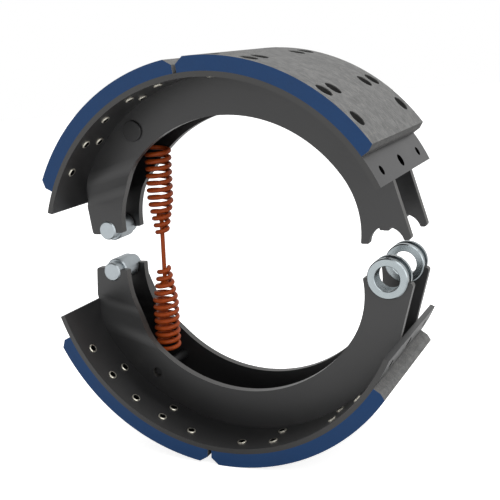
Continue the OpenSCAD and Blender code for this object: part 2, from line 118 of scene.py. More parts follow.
# %% [markdown]
# ## Helpers for node trees
# Every finish below is procedural: it is worked out from the place on the surface, so it needs
# no picture and no UV map. Nodes could be made and wired one line at a time. One helper that
# adds a node with its settings and inputs, and short ones for the nodes that come back again
# and again, keep each finish short enough to read.

# %% Add a node and feed its sockets
def feed(tree, socket, value):
    """Sets a socket from a number, from three numbers or from another node's socket."""
    if isinstance(value, bpy.types.NodeSocket):
        tree.links.new(value, socket)
    elif socket.type == "RGBA":
        socket.default_value = (*value, 1.0)
    else:
        socket.default_value = value


def place(tree, kind, options=None, inputs=None):
    """Adds a node with its settings, feeds its inputs and returns its outputs."""
    node = tree.nodes.new("ShaderNode" + kind)
    for key, value in (options or {}).items():
        setattr(node, key, value)
    for key, value in (inputs or {}).items():
        feed(tree, node.inputs[key], value)
    return node.outputs


def math_node(tree, operation, *values):
    """The result of a Math node."""
    return place(tree, "Math", {"operation": operation}, dict(enumerate(values)))[0]


def vector_node(tree, operation, *values):
    """The outputs of a Vector Math node: 0 is a vector, and Value is a number."""
    return place(tree, "VectorMath", {"operation": operation}, dict(enumerate(values)))


print("node helpers ready")

# %% [markdown]
# A few nodes come back in nearly every finish. Each gets a helper with the names of its own
# settings, so that a finish reads like a recipe and not like a wiring list. These three split a
# vector, dim a colour and mix two colours.

# %% Split vectors and mix colours
def axes_of(tree, vector):
    """The X, Y and Z of a vector."""
    return place(tree, "SeparateXYZ", inputs={0: vector})


def scaled(tree, color, factor):
    """A colour times a number."""
    return place(tree, "VectorMath", {"operation": "SCALE"}, {0: color, "Scale": factor})[0]


def mix_colors(tree, share, first, second):
    """A colour between first and second by share."""
    return place(tree, "Mix", {"data_type": "RGBA"}, {0: share, 6: first, 7: second})[2]


print("colour helpers ready")

# %% [markdown]
# A mask says where something happens, by a number from 0 to 1. It starts as a noise or a
# distance, and a ramp or two limits make the mask of it. A Color Ramp node could do that too, but
# its stops lie between 0 and 1, and many masks here start from millimetres or degrees.

# %% Make noises and masks
def ramp(tree, value, start, stop, low=0.0, high=1.0, smooth=False):
    """A value mapped from start and stop to low and high, and held beyond both."""
    return place(tree, "MapRange", {"interpolation_type": "SMOOTHSTEP" if smooth else "LINEAR"}, {
        "Value": value, "From Min": start, "From Max": stop, "To Min": low, "To Max": high})[0]


def between(tree, value, low, high):
    """A mask that is 1 where a value lies between low and high."""
    return math_node(tree, "MULTIPLY", math_node(tree, "GREATER_THAN", value, low),
                     math_node(tree, "LESS_THAN", value, high))


def noise(tree, where, scale, detail, roughness=0.5, distortion=0.0):
    """Noise round 0.5 that changes with the vector where."""
    return place(tree, "TexNoise", inputs={"Vector": where, "Scale": scale, "Detail": detail,
                                           "Roughness": roughness, "Distortion": distortion})[0]


print("mask helpers ready")

# %% [markdown]
# ## Helpers for node groups
# An effect that several materials share could be copied into each. A node group is built once
# instead, has named sockets, and takes its own values in each place.

# %% Build a group and use it
def new_group(name, inputs, outputs):
    """A shader node group with named sockets; inputs are (name, type, default)."""
    group = bpy.data.node_groups.new(name, "ShaderNodeTree")
    for socket, kind, default in inputs:
        made = group.interface.new_socket(name=socket, in_out="INPUT", socket_type="NodeSocket" + kind)
        made.default_value = default
    for socket, kind in outputs:
        group.interface.new_socket(name=socket, in_out="OUTPUT", socket_type="NodeSocket" + kind)
    return group, group.nodes.new("NodeGroupInput").outputs, group.nodes.new("NodeGroupOutput").inputs


def use_group(tree, group, values):
    """Places a node group with its own values and returns its outputs."""
    return place(tree, "Group", {"node_tree": group}, values)


print("group helpers ready")

# %% [markdown]
# ## Helpers for materials
# A material here is one Principled shader and the nodes that feed it. Nearly every finish feeds
# the same three things, colour, roughness and relief, so one helper does that.

# %% Start a material and coat it
def new_material(name):
    """A material, its node tree and its Principled shader."""
    material = bpy.data.materials.new(name)
    material.use_nodes = True
    return material, material.node_tree, material.node_tree.nodes["Principled BSDF"]


def relief(tree, shader, height, depth_mm, strength):
    """Lets a height that changes over the surface tilt the shader's normal."""
    bump = place(tree, "Bump", inputs={"Strength": strength, "Distance": depth_mm * MM, "Height": height})
    feed(tree, shader.inputs["Normal"], bump["Normal"])


def coat(tree, shader, film, depth_mm, strength):
    """Gives a shader the colour, roughness and relief that a group puts out."""
    feed(tree, shader.inputs["Base Color"], film["Color"])
    feed(tree, shader.inputs["Roughness"], film["Roughness"])
    relief(tree, shader, film["Height"], depth_mm, strength)


print("material helpers ready")

# %% [markdown]
# ## Effect: paint film
# The plates, the pins, the springs and the blue lining sides are all coated. A coat of paint is
# never one flat colour: it is a little thinner and lighter in clouds some centimetres wide, and
# it has a fine orange-peel grain. One group makes both from two noises, and each material gives
# it its own colour, sizes and spread.

# %% Build the paint film group
GRAIN_SHARE = 0.6

paint_film, given, made = new_group("paint_film", [
    ("Color", "Color", (0.5, 0.5, 0.5, 1)), ("Tone Spread", "Float", 0.2), ("Cloud mm", "Float", 45.0),
    ("Grain mm", "Float", 1.2), ("Roughness", "Float", 0.5), ("Gloss Spread", "Float", 0.1),
], [("Color", "Color"), ("Roughness", "Float"), ("Height", "Float")])
calc = partial(math_node, paint_film)
where = place(paint_film, "TexCoord")["Object"]
clouds = noise(paint_film, where, calc("DIVIDE", 1 / MM, given["Cloud mm"]), detail=4.0, roughness=0.6)
grain = noise(paint_film, where, calc("DIVIDE", 1 / MM, given["Grain mm"]), detail=3.0, roughness=0.55)
cloud_part = calc("SUBTRACT", clouds, 0.5)
uneven = calc("MULTIPLY_ADD", calc("SUBTRACT", grain, 0.5), GRAIN_SHARE, cloud_part)
tone = calc("MULTIPLY_ADD", uneven, given["Tone Spread"], 1.0)
feed(paint_film, made["Color"], scaled(paint_film, given["Color"], tone))
gloss = calc("MULTIPLY_ADD", cloud_part, given["Gloss Spread"], given["Roughness"])
feed(paint_film, made["Roughness"], gloss)
feed(paint_film, made["Height"], grain)
print("group:", paint_film.name, "nodes:", len(paint_film.nodes))

# %% [markdown]
# ## Effect: cut face
# A plate's flat side and its sawn or sheared edge never look alike, and the sides of a lining
# are painted while its wearing face is ground. All these differ by which way the surface faces.
# This group gives a mask that is 1 where the surface faces along the drum's axis and 0 where it
# faces away from it, with a noisy line between them. A wall of a hole may face that way too, so
# the mask can be kept to what lies beyond a distance from the middle of the shoe.

# %% Build the facing mask group
facing, given, made = new_group("axis_facing", [("Ragged", "Float", 0.1), ("Beyond mm", "Float", 0.0)],
                                [("Mask", "Float")])
calc = partial(math_node, facing)
coords = place(facing, "TexCoord")
along = calc("ABSOLUTE", axes_of(facing, coords["Normal"])["Y"])
fringe = calc("SUBTRACT", noise(facing, coords["Object"], scale=900.0, detail=2.0), 0.5)
uneven = calc("ADD", along, calc("MULTIPLY", fringe, given["Ragged"]))
mask = ramp(facing, uneven, start=0.55, stop=0.75, smooth=True)
across = calc("ABSOLUTE", axes_of(facing, coords["Object"])["Y"])
outside = calc("GREATER_THAN", across, calc("MULTIPLY", given["Beyond mm"], MM))
feed(facing, made["Mask"], calc("MULTIPLY", mask, outside))
print("group:", facing.name, "nodes:", len(facing.nodes))

# %% [markdown]
# ## Effect: turned metal
# The rollers and bushes come off a lathe, so their marks run round their axis: rings on the end
# faces and fine lines round the bodies. Both come out of one rule. A noise that is read only at
# the distance from the axis and at the place along it can't change round the axis.

# %% Build the turned metal group
turned, given, made = new_group("turned_metal", [
    ("Color", "Color", (0.6, 0.6, 0.6, 1)), ("Axis Point", "Vector", (0, 0, 0)), ("Ring mm", "Float", 0.8),
    ("Tone Spread", "Float", 0.2), ("Roughness", "Float", 0.3), ("Gloss Spread", "Float", 0.15),
], [("Color", "Color"), ("Roughness", "Float"), ("Height", "Float")])
calc = partial(math_node, turned)
coords = place(turned, "TexCoord")["Object"]
arm = vector_node(turned, "SUBTRACT", coords, given["Axis Point"])[0]
flat = vector_node(turned, "MULTIPLY", arm, (1, 0, 1))[0]
radius = vector_node(turned, "LENGTH", flat)["Value"]
ring_place = place(turned, "CombineXYZ", inputs={0: radius, 1: axes_of(turned, arm)["Y"]})[0]
rings = noise(turned, ring_place, calc("DIVIDE", 1 / MM, given["Ring mm"]), detail=5.0, roughness=0.7)
ring_part = calc("SUBTRACT", rings, 0.5)
stain_part = calc("SUBTRACT", noise(turned, coords, scale=110.0, detail=3.0), 0.5)
tone = calc("MULTIPLY_ADD", calc("ADD", ring_part, stain_part), given["Tone Spread"], 1.0)
feed(turned, made["Color"], scaled(turned, given["Color"], tone))
gloss = calc("MULTIPLY_ADD", ring_part, given["Gloss Spread"], given["Roughness"])
feed(turned, made["Roughness"], gloss)
feed(turned, made["Height"], rings)
print("group:", turned.name, "nodes:", len(turned.nodes))

# %% [markdown]
# ## Effect: place on the shoe
# Some marks belong to a place on the shoe: a bore, the floor of a counterbore and a hole's wall
# get painted shade, for the shade deep in them. On a drawing such a place is given by its distance
# from the centre of the arc, its angle round it and its distance from the nearest rivet. This group
# works these out from the point on the surface. The two shoes' arcs have centres a little apart, and
# the side of the drum's axis that a point lies on says which of the two is meant.

# %% Start the group that finds a place on the shoe
ROW_PITCH = 10.9
CAM_ROW, ANCHOR_ROW = 148.4, 43.3

shoe_place, given, made = new_group("shoe_place", [("First Row deg", "Float", CAM_ROW)], [
    ("Reach mm", "Float"), ("Angle deg", "Float"), ("Radial Facing", "Float"),
    ("Rivet Distance mm", "Float")])
calc = partial(math_node, shoe_place)
coords = place(shoe_place, "TexCoord")
spot = axes_of(shoe_place, vector_node(shoe_place, "SUBTRACT", coords["Object"], DRUM_AXIS)[0])
side = calc("SIGN", spot["Z"])
rise = calc("ADD", spot["Z"], calc("MULTIPLY", side, DRUM_AXIS.z - UPPER_ARC.z))
arm = place(shoe_place, "CombineXYZ", inputs={0: spot["X"], 2: rise})[0]
reach = calc("DIVIDE", vector_node(shoe_place, "LENGTH", arm)["Value"], MM)
angle = calc("DEGREES", calc("ARCTAN2", calc("ABSOLUTE", rise), spot["X"]))
outward = vector_node(shoe_place, "NORMALIZE", arm)[0]
faces_out = vector_node(shoe_place, "DOT_PRODUCT", outward, coords["Normal"])["Value"]
feed(shoe_place, made["Reach mm"], reach)
feed(shoe_place, made["Angle deg"], angle)
feed(shoe_place, made["Radial Facing"], calc("ABSOLUTE", faces_out))
print("group:", shoe_place.name, "gives", [socket.name for socket in made if socket.is_linked])

# %% [markdown]
# The rivets stand in rows at even angles, and each row has rivets at two distances from the
# middle of the shoe. So the angle is wrapped to the nearest row, and the smaller of the two
# distances across is taken. Both together are the arm from the nearest rivet's axis.

# %% Add the distance from the nearest rivet
OUTER_RIVET_Y, INNER_RIVET_Y = 73.0, 48.0

from_row = calc("WRAP", calc("SUBTRACT", angle, given["First Row deg"]), ROW_PITCH / 2, -ROW_PITCH / 2)
round_arc = calc("MULTIPLY", reach, calc("RADIANS", from_row))
across = calc("DIVIDE", calc("ABSOLUTE", spot["Y"]), MM)
to_outer, to_inner = (calc("ABSOLUTE", calc("SUBTRACT", across, y)) for y in (OUTER_RIVET_Y, INNER_RIVET_Y))
offset = place(shoe_place, "CombineXYZ", inputs={0: round_arc, 1: calc("MINIMUM", to_outer, to_inner)})[0]
feed(shoe_place, made["Rivet Distance mm"], vector_node(shoe_place, "LENGTH", offset)["Value"])
print("group:", shoe_place.name, "nodes:", len(shoe_place.nodes))

# %% [markdown]
# ## Finish: shoe plates
# Webs and tables are mild steel plate under a thin satin charcoal primer. The pigment is nearly
# black, and most of the light that comes back is mirrored by the satin film. So the colour is
# dark and the film is fairly smooth: a face that mirrors the room is grey, and one that mirrors
# its neighbour is almost black. A lighter matt colour would lose the dark corners.
# The walls of the table's holes get painted shade: a metal with a very dark colour, for the
# shade deep in the holes. A wall there is what neither faces away from the arc's centre nor lies
# at the table's edges or tips.

# %% Find the walls of a table's holes
HOLE_WALL_SHADE = (0.003, 0.003, 0.003)
TABLE_START, TABLE_STOP, TIP_MARGIN = 25.3, 162.3, 0.5


def hole_wall(tree, edge):
    """A mask for the walls of a table's holes, which get painted shade: not its broad faces, its edges or
    its tips.
    """
    calc = partial(math_node, tree)
    spot = use_group(tree, shoe_place, {})
    wall = calc("LESS_THAN", spot["Radial Facing"], 0.5)
    off_tips = between(tree, spot["Angle deg"], TABLE_START + TIP_MARGIN, TABLE_STOP - TIP_MARGIN)
    return calc("MULTIPLY", calc("MULTIPLY", wall, off_tips), calc("SUBTRACT", 1.0, edge))


print("walls lie from", TABLE_START + TIP_MARGIN, "to", TABLE_STOP - TIP_MARGIN, "degrees")

# %% [markdown]
# On the cut edges the primer is thin, so these look lighter and a little warm. On a web the
# broad faces are the ones that face along the drum's axis, and on a table they are the other
# ones, so the same mask is used the other way round.

# %% Make the plate paints
PRIMER = (0.0115, 0.0115, 0.012)
WEB_EDGE = (0.034, 0.0325, 0.030)
TABLE_EDGE = (0.0135, 0.0132, 0.0126)
RIM_FROM_MID = 88.5


def plate_paint(name, edge_color, is_table):
    """Primer on a table, whose rims face along the axis, or on a web, whose broad faces do."""
    material, tree, shader = new_material(name)
    beyond = RIM_FROM_MID if is_table else 0.0
    edge = use_group(tree, facing, {"Ragged": 0.25, "Beyond mm": beyond})["Mask"]
    if not is_table:
        edge = math_node(tree, "SUBTRACT", 1.0, edge)
    plate_tone = mix_colors(tree, edge, PRIMER, edge_color)
    if is_table:
        # Painted shade: the walls of a table's holes are painted near black on a metal shader.
        wall = hole_wall(tree, edge)
        plate_tone = mix_colors(tree, wall, plate_tone, HOLE_WALL_SHADE)
        feed(tree, shader.inputs["Metallic"], wall)
    coat(tree, shader, use_group(tree, paint_film, {
        "Color": plate_tone, "Tone Spread": 0.3, "Cloud mm": 60.0, "Grain mm": 0.9, "Roughness": 0.38,
        "Gloss Spread": 0.12}), depth_mm=0.05, strength=0.5)
    shader.inputs["Specular IOR Level"].default_value = 0.66
    return material


web_paint = plate_paint("web_paint", WEB_EDGE, False)
table_paint = plate_paint("table_paint", TABLE_EDGE, True)
print("made", web_paint.name, table_paint.name)

# %% [markdown]
# ## Effect: ground friction material
# A lining is a moulded block of fibres, fillers and metal chips in resin. Its wearing face is
# ground, which opens the mix: soft grey clouds, short streaks along the grinding, dark pores and
# a few bright chips. A photo of a lining could be used, but noises fit any size of block. All
# linings are of the same mix, so it is one group. The tones come first, and how much of the face
# each of them takes.

# %% Choose the tones of the friction material
MIX_GREY = (0.130, 0.130, 0.128)
MIX_DARK = (0.057, 0.057, 0.056)
MIX_PALE = (0.222, 0.221, 0.216)
PORE, CHIP = (0.030, 0.030, 0.029), (0.34, 0.31, 0.25)
PORE_ABOVE, CHIP_BELOW = 0.62, 0.13
PALE_SHARE, DARK_SHARE, PORE_SHARE = 0.48, 0.7, 0.7
print("pores in", round(1 - PORE_ABOVE, 2), "and chips in", CHIP_BELOW, "of the cells")

# %% [markdown]
# The mix goes from soft to hard: clouds, then streaks, then pores and chips. The noise of the
# streaks is read in a space that is squeezed round the arc, so they come out long that way,
# which is how the grinder ran.

# %% Build the friction material group
LINING_R = 209.0
ARC_SQUEEZE = 0.2
ARC_STEP = math.radians(1) * LINING_R * ARC_SQUEEZE

friction, given, made = new_group("ground_friction", [
    ("Reach mm", "Float", LINING_R), ("Angle deg", "Float", 90.0),
], [("Color", "Color"), ("Streaks", "Float"), ("Pores", "Float")])
calc = partial(math_node, friction)
coords = place(friction, "TexCoord")["Object"]
ground = place(friction, "CombineXYZ", inputs={
    0: calc("DIVIDE", axes_of(friction, coords)["Y"], MM),
    1: calc("MULTIPLY", given["Angle deg"], ARC_STEP), 2: given["Reach mm"]})[0]
clouds = noise(friction, coords, scale=95.0, detail=7.0, roughness=0.62, distortion=0.6)
clouds = ramp(friction, clouds, start=0.36, stop=0.66, smooth=True)
streaks = noise(friction, ground, scale=0.55, detail=5.0, roughness=0.66)
cells = place(friction, "TexVoronoi", inputs={"Vector": coords, "Scale": 480.0})
specks = ramp(friction, cells["Distance"], start=0.10, stop=0.22, low=1.0, high=0.0)
pick = axes_of(friction, cells["Color"])[0]
pores = calc("MULTIPLY", specks, calc("GREATER_THAN", pick, PORE_ABOVE))
chips = calc("MULTIPLY", specks, calc("LESS_THAN", pick, CHIP_BELOW))
color = mix_colors(friction, calc("MULTIPLY", clouds, PALE_SHARE), MIX_GREY, MIX_PALE)
streak_share = ramp(friction, streaks, start=0.44, stop=0.70, high=DARK_SHARE)
color = mix_colors(friction, streak_share, color, MIX_DARK)
color = mix_colors(friction, calc("MULTIPLY", pores, PORE_SHARE), color, PORE)
feed(friction, made["Color"], mix_colors(friction, chips, color, CHIP))
feed(friction, made["Streaks"], streaks)
feed(friction, made["Pores"], pores)
print("group:", friction.name, "streaks are", 1 / ARC_SQUEEZE, "times as long round the arc")

# %% [markdown]
# ## Effect: counterbores
# The counterbores get painted shade, a darker tone for the shade deep in them. It could be painted
# on by hand, but the distance from the nearest rivet finds them all. The rows would go on past the
# ends of a lining, so the group takes the angles that it may work between, too.

# %% Build the counterbore mask group
COUNTERBORE_R = 9.3
FACE_MARGIN = 0.8

counterbores, given, made = new_group("counterbores", [
    ("Reach mm", "Float", LINING_R), ("Angle deg", "Float", 90.0), ("Rivet Distance mm", "Float", 0.0),
    ("From deg", "Float", 0.0), ("To deg", "Float", 180.0)], [("Mask", "Float")])
calc = partial(math_node, counterbores)
in_hole = calc("MULTIPLY", calc("LESS_THAN", given["Rivet Distance mm"], COUNTERBORE_R),
               calc("LESS_THAN", given["Reach mm"], LINING_R - FACE_MARGIN))
in_block = between(counterbores, given["Angle deg"], given["From deg"], given["To deg"])
feed(counterbores, made["Mask"], calc("MULTIPLY", in_hole, in_block))
print("group:", counterbores.name, "nodes:", len(counterbores.nodes))

# %% [markdown]
# ## Finish: lining
# The wearing face shows the ground mix, with painted shade in its counterbores, and the sides are
# sprayed blue, so that a mechanic can tell the grade. The blue is the paint film, chosen by the
# facing mask. Each lining gets a material of its own, because its rows of rivets start at
# another angle.

# %% Make the lining materials
HOLLOW_SHADE = (0.034, 0.034, 0.033)
SIDE_BLUE = (0.010, 0.050, 0.152)
PORE_DEPTH = 0.8
END_MARGIN = 1.2
CAM_LINING, ANCHOR_LINING = (96.35, 155.2), (34.8, 95.1)


def lining_mix(name, first_row, ends):
    """Ground friction material with blue sides and painted shade in the counterbores."""
    material, tree, shader = new_material(name)
    spot = use_group(tree, shoe_place, {"First Row deg": first_row})
    face = use_group(tree, friction, {"Reach mm": spot["Reach mm"], "Angle deg": spot["Angle deg"]})
    shaded_hollow = use_group(tree, counterbores, {
        "Reach mm": spot["Reach mm"], "Angle deg": spot["Angle deg"],
        "Rivet Distance mm": spot["Rivet Distance mm"],
        "From deg": ends[0] + END_MARGIN, "To deg": ends[1] - END_MARGIN})["Mask"]
    # Painted shade: the counterbores are darkened, for the shade deep in them.
    grey = mix_colors(tree, shaded_hollow, face["Color"], HOLLOW_SHADE)
    blue = use_group(tree, paint_film, {"Color": SIDE_BLUE, "Tone Spread": 0.25, "Cloud mm": 30.0,
                                        "Grain mm": 1.6, "Roughness": 0.55, "Gloss Spread": 0.2})
    side = use_group(tree, facing, {"Ragged": 0.3, "Beyond mm": RIM_FROM_MID})["Mask"]
    matt = ramp(tree, face["Streaks"], start=0.0, stop=1.0, low=0.95, high=0.8)
    rough = place(tree, "Mix", inputs={0: side, 2: matt, 3: blue["Roughness"]})[0]
    feed(tree, shader.inputs["Base Color"], mix_colors(tree, side, grey, blue["Color"]))
    feed(tree, shader.inputs["Roughness"], rough)
    pits = math_node(tree, "MULTIPLY", face["Pores"], PORE_DEPTH)
    relief(tree, shader, math_node(tree, "SUBTRACT", face["Streaks"], pits), depth_mm=0.12, strength=0.6)
    shader.inputs["Specular IOR Level"].default_value = 0.3
    return material


cam_lining_mix = lining_mix("cam_lining_mix", CAM_ROW, CAM_LINING)
anchor_lining_mix = lining_mix("anchor_lining_mix", ANCHOR_ROW, ANCHOR_LINING)
print("made", cam_lining_mix.name, anchor_lining_mix.name)

# %% [markdown]
# ## Finish: rollers and bushes
# Rollers are ground and hardened, bushes are turned and thinly plated, so the bushes show
# more marks. Both use the turned metal group round their own axes. A metal's colour is what it
# mirrors, so its base colour stays pale and the studio does the rest.

# %% Make the metals
UPPER_ROLLER = Vector((-320.7, 0, 39.7)) * MM
LOWER_ROLLER = Vector((-320.7, 0, -7.3)) * MM
ANCHOR_AXIS = Vector((0, 0, 0))
BUSH_TONE, ROLLER_TONE = (0.31, 0.346, 0.36), (0.365, 0.40, 0.42)


def turned_steel(name, color, axis_point, ring_mm, roughness, depth_mm):
    """Bare steel with lathe marks round an axis along Y."""
    material, tree, shader = new_material(name)
    coat(tree, shader, use_group(tree, turned, {
        "Color": color, "Axis Point": axis_point, "Ring mm": ring_mm, "Tone Spread": 0.2,
        "Roughness": roughness, "Gloss Spread": 0.22}), depth_mm, strength=0.4)
    shader.inputs["Metallic"].default_value = 1.0
    return material


bush_steel = turned_steel("bush_steel", BUSH_TONE, ANCHOR_AXIS, ring_mm=0.9, roughness=0.25, depth_mm=0.03)
ground_steel = {"ring_mm": 0.5, "roughness": 0.36, "depth_mm": 0.012}
upper_roller_steel = turned_steel("upper_roller_steel", ROLLER_TONE, UPPER_ROLLER, **ground_steel)
lower_roller_steel = turned_steel("lower_roller_steel", ROLLER_TONE, LOWER_ROLLER, **ground_steel)
print("made", bush_steel.name, upper_roller_steel.name, lower_roller_steel.name)

# %% [markdown]
# ## Effect: rivet plating
# The rivets are plated steel tubes. Only the rolled tails, which stand inside the table, are
# clean and bright. Their bores get painted shade, and so do the heads, which lie deep in the
# lining. The distance from the rivet's own axis tells the ring from the bore, and the distance
# from the arc's centre tells the tail from the head.

# %% Build the rivet plating group
TAIL_PLATE, BORE_SHADE = (0.76, 0.73, 0.63), (0.008, 0.008, 0.008)
HEAD_SHADE = (0.055, 0.053, 0.050)
BORE_R, BORE_EDGE = 3.5, 0.3
TAIL_DEPTH, HEAD_FADE = 5.0, 3.0
HEAD_FROM = TABLE_INNER_R + TAIL_DEPTH

plating, given, made = new_group("rivet_plating", [
    ("Reach mm", "Float", TABLE_INNER_R), ("Rivet Distance mm", "Float", 0.0),
], [("Color", "Color"), ("Roughness", "Float"), ("Metallic", "Float"), ("Height", "Float")])
speck = noise(plating, place(plating, "TexCoord")["Object"], scale=900.0, detail=4.0)
bore = ramp(plating, given["Rivet Distance mm"], BORE_R - BORE_EDGE, BORE_R + BORE_EDGE, low=1.0, high=0.0)
shaded_hollow = ramp(plating, given["Reach mm"], HEAD_FROM, HEAD_FROM + HEAD_FADE)
# Painted shade: the bore and the head deep in the counterbore get dark colours.
color = mix_colors(plating, shaded_hollow, mix_colors(plating, bore, TAIL_PLATE, BORE_SHADE), HEAD_SHADE)
shade = ramp(plating, speck, start=0.3, stop=0.7, low=0.75, high=1.1)
feed(plating, made["Color"], scaled(plating, color, shade))
feed(plating, made["Roughness"], ramp(plating, speck, start=0.0, stop=1.0, low=0.25, high=0.5))
feed(plating, made["Metallic"], math_node(plating, "SUBTRACT", 1.0, shaded_hollow))
feed(plating, made["Height"], speck)
print("group:", plating.name, "nodes:", len(plating.nodes))

# %% [markdown]
# ## Finish: rivets
# A bare metal could be one material for all, but the group has to know which row it stands in.
# So the rivets of each lining get a material with that lining's first row, and the plating does
# the rest.

# %% Make the rivet materials
def rivet_plate(name, first_row):
    """Bright tails, with painted shade in the bores and on the heads."""
    material, tree, shader = new_material(name)
    spot = use_group(tree, shoe_place, {"First Row deg": first_row})
    film = use_group(tree, plating, {
        "Reach mm": spot["Reach mm"], "Rivet Distance mm": spot["Rivet Distance mm"]})
    coat(tree, shader, film, depth_mm=0.02, strength=0.4)
    feed(tree, shader.inputs["Metallic"], film["Metallic"])
    return material


cam_rivet_plate = rivet_plate("cam_rivet_plate", CAM_ROW)
anchor_rivet_plate = rivet_plate("anchor_rivet_plate", ANCHOR_ROW)
print("made", cam_rivet_plate.name, anchor_rivet_plate.name)

# %% [markdown]
# ## Finish: pins and springs
# The pins are painted with the shoe. The springs are dipped in orange primer before they are
# hooked in, and so is their link rod, with a thicker film that is satin too. The paint film
# group gives the clouds and the grain of both.

# %% Make the pin and spring materials
SPRING_ORANGE = (0.345, 0.054, 0.0055)

pin_paint, tree, shader = new_material("pin_paint")
coat(tree, shader, use_group(tree, paint_film, {
    "Color": PRIMER, "Tone Spread": 0.3, "Cloud mm": 12.0, "Grain mm": 0.7, "Roughness": 0.4,
    "Gloss Spread": 0.2}), depth_mm=0.03, strength=0.5)
shader.inputs["Specular IOR Level"].default_value = 0.45

spring_paint, tree, shader = new_material("spring_paint")
coat(tree, shader, use_group(tree, paint_film, {
    "Color": SPRING_ORANGE, "Tone Spread": 0.34, "Cloud mm": 9.0, "Grain mm": 1.1, "Roughness": 0.48,
    "Gloss Spread": 0.2}), depth_mm=0.05, strength=0.6)
shader.inputs["Specular IOR Level"].default_value = 0.25
print("made", pin_paint.name, spring_paint.name)

# %% [markdown]
# ## Finishes on the CAD model's pieces
# The CAD model's pieces keep their meshes and only change their material. The two coils are left
# out, because the next steps make them again.

# %% Put the finishes on
def finish(node_name, material):
    """Gives a CAD piece its material; its mesh isn't touched."""
    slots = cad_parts[node_name].data.materials
    slots.clear()
    slots.append(material)


SHOE_FINISHES = {"table": table_paint, "front_web": web_paint, "rear_web": web_paint,
                 "cam_lining": cam_lining_mix, "anchor_lining": anchor_lining_mix,
                 "cam_rivets": cam_rivet_plate, "anchor_rivets": anchor_rivet_plate, "spring_pin": pin_paint}
FINISHES = {"upper_cam_roller": upper_roller_steel, "lower_cam_roller": lower_roller_steel,
            "front_anchor_bush": bush_steel, "rear_anchor_bush": bush_steel, "spring_link": spring_paint}
for shoe in ("upper", "lower"):
    FINISHES.update({f"{shoe}_{piece}": material for piece, material in SHOE_FINISHES.items()})
for node_name, material in FINISHES.items():
    finish(node_name, material)
print("finishes on", len(FINISHES), "of", len(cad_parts), "pieces")

# %% [markdown]
# ## Return springs
# Two coil springs pull the shoes together. Each is wound straight from a hook over its pin, and
# its last turns run down to a narrow end that keeps the head of a link rod inside. The link rod
# has the right shape in the CAD model. The coils are faceted there, so each is made again as a
# swept tube along the same path. A real coil stretches when a shoe swings. A curve with a bevel
# would be shorter to write, but here the wire is a mesh.

# %% Set the springs' sizes
WIRE_D, COIL_D, TAPER_D, TAPER_SHARE = 5.0, 29.0, 15.6, 0.4
UPPER_TURNS, LOWER_TURNS = 11.94, 11.61
UPPER_PIN, LOWER_PIN = Vector((-268.17, 0, 149.13)), Vector((-268.17, 0, -116.73))
SPRING_MID = Vector((-266.07, 0, 13.5))
COILS_LEN, COIL_LEN = 226.6, 93.3
LEAN = math.radians(2.8)
HOOK_R, HOOK_WRAP, COIL_END = 8.0, 170, 160
SPRING_DIR = Vector((math.sin(LEAN), 0, math.cos(LEAN)))
SPRING_SIDE = Vector((math.cos(LEAN), 0, -math.sin(LEAN)))
print("coil of", COIL_LEN, "mm at rest, pin to pin", round((UPPER_PIN - LOWER_PIN).length, 1), "mm")

# %% [markdown]
# ## The path of a spring's wire
# A spring is one wire, so it is one path: the hook round the pin, a shank that leaves the hook
# straight and meets the first turn along the wire, and the turns. The lower spring is the upper
# one turned over, and a side of 1 or -1 says which of the two is meant.

# %% Work out the points of a coil and a hook
def coil_radius(u):
    """Radius of the wire's path at share u of a coil, from its wide end to its narrow end."""
    taper = max(0.0, (u - 1 + TAPER_SHARE) / TAPER_SHARE)
    return (COIL_D - WIRE_D + (TAPER_D - COIL_D) * taper) / 2


def coil_point(u, turns, side):
    """Place on a coil at share u of its length, from its wide end to its narrow end."""
    a = math.radians(COIL_END - 360 * turns * u)
    around = math.cos(a) * SPRING_SIDE + Vector((0, side * math.sin(a), 0))
    return SPRING_MID + side * (COILS_LEN / 2 - u * COIL_LEN) * SPRING_DIR + coil_radius(u) * around


def hook_point(pin, degrees, side):
    """Place on the hook over a pin, which is wound round it for nearly half a turn."""
    a = math.radians(degrees)
    return pin + HOOK_R * Vector((math.cos(a), 0, side * math.sin(a)))


print("coil radius", coil_radius(0), "mm at the wide end,", round(coil_radius(1), 2), "mm at the narrow end")

# %% [markdown]
# The shank between hook and coil could be a straight line, but then the wire would have a
# corner at both ends. A Bezier curve leaves the hook straight towards the other shoe and meets
# the first turn along the wire.

# %% Join hook, shank and coil to one path
PER_TURN = 44
HOOK_STEP = 5
SHANK_STEPS = 14


def bezier(a, b, c, d, t):
    """Place at share t of the cubic curve with the ends a and d and the handles b and c."""
    u = 1 - t
    return u ** 3 * a + 3 * u * u * t * b + 3 * u * t * t * c + t ** 3 * d


def spring_path(pin, turns, side):
    """The middle line of one spring's wire in millimetres, from its hook to its narrow end."""
    hook = [hook_point(pin, a, side) for a in range(180 - HOOK_WRAP, 180, HOOK_STEP)]
    steps = round(turns * PER_TURN)
    coil = [coil_point(i / steps, turns, side) for i in range(steps + 1)]
    back = (coil[0] - coil[1]).normalized() * WIRE_D
    leave = hook_point(pin, 180, side)
    shank = [bezier(leave, leave - Vector((0, 0, side * HOOK_R)), coil[0] + back, coil[0], i / SHANK_STEPS)
             for i in range(SHANK_STEPS)]
    return hook + shank + coil


upper_path = spring_path(UPPER_PIN, UPPER_TURNS, 1)
lower_path = spring_path(LOWER_PIN, LOWER_TURNS, -1)
for label, path in (("upper", upper_path), ("lower", lower_path)):
    print(label, "wire is", round(sum((b - a).length for a, b in zip(path, path[1:]))), "mm long")

# %% [markdown]
# ## A tube along a path
# A tube along a path needs a ring of points at each step, square to the path. If each ring
# took its own "up" direction, the tube would twist where the path turns. So one side direction
# is carried from ring to ring and only made square again. The cut ends get a broken edge.

# %% Turn rings along a path
SIDES = 14
END_SHRINK = 0.72


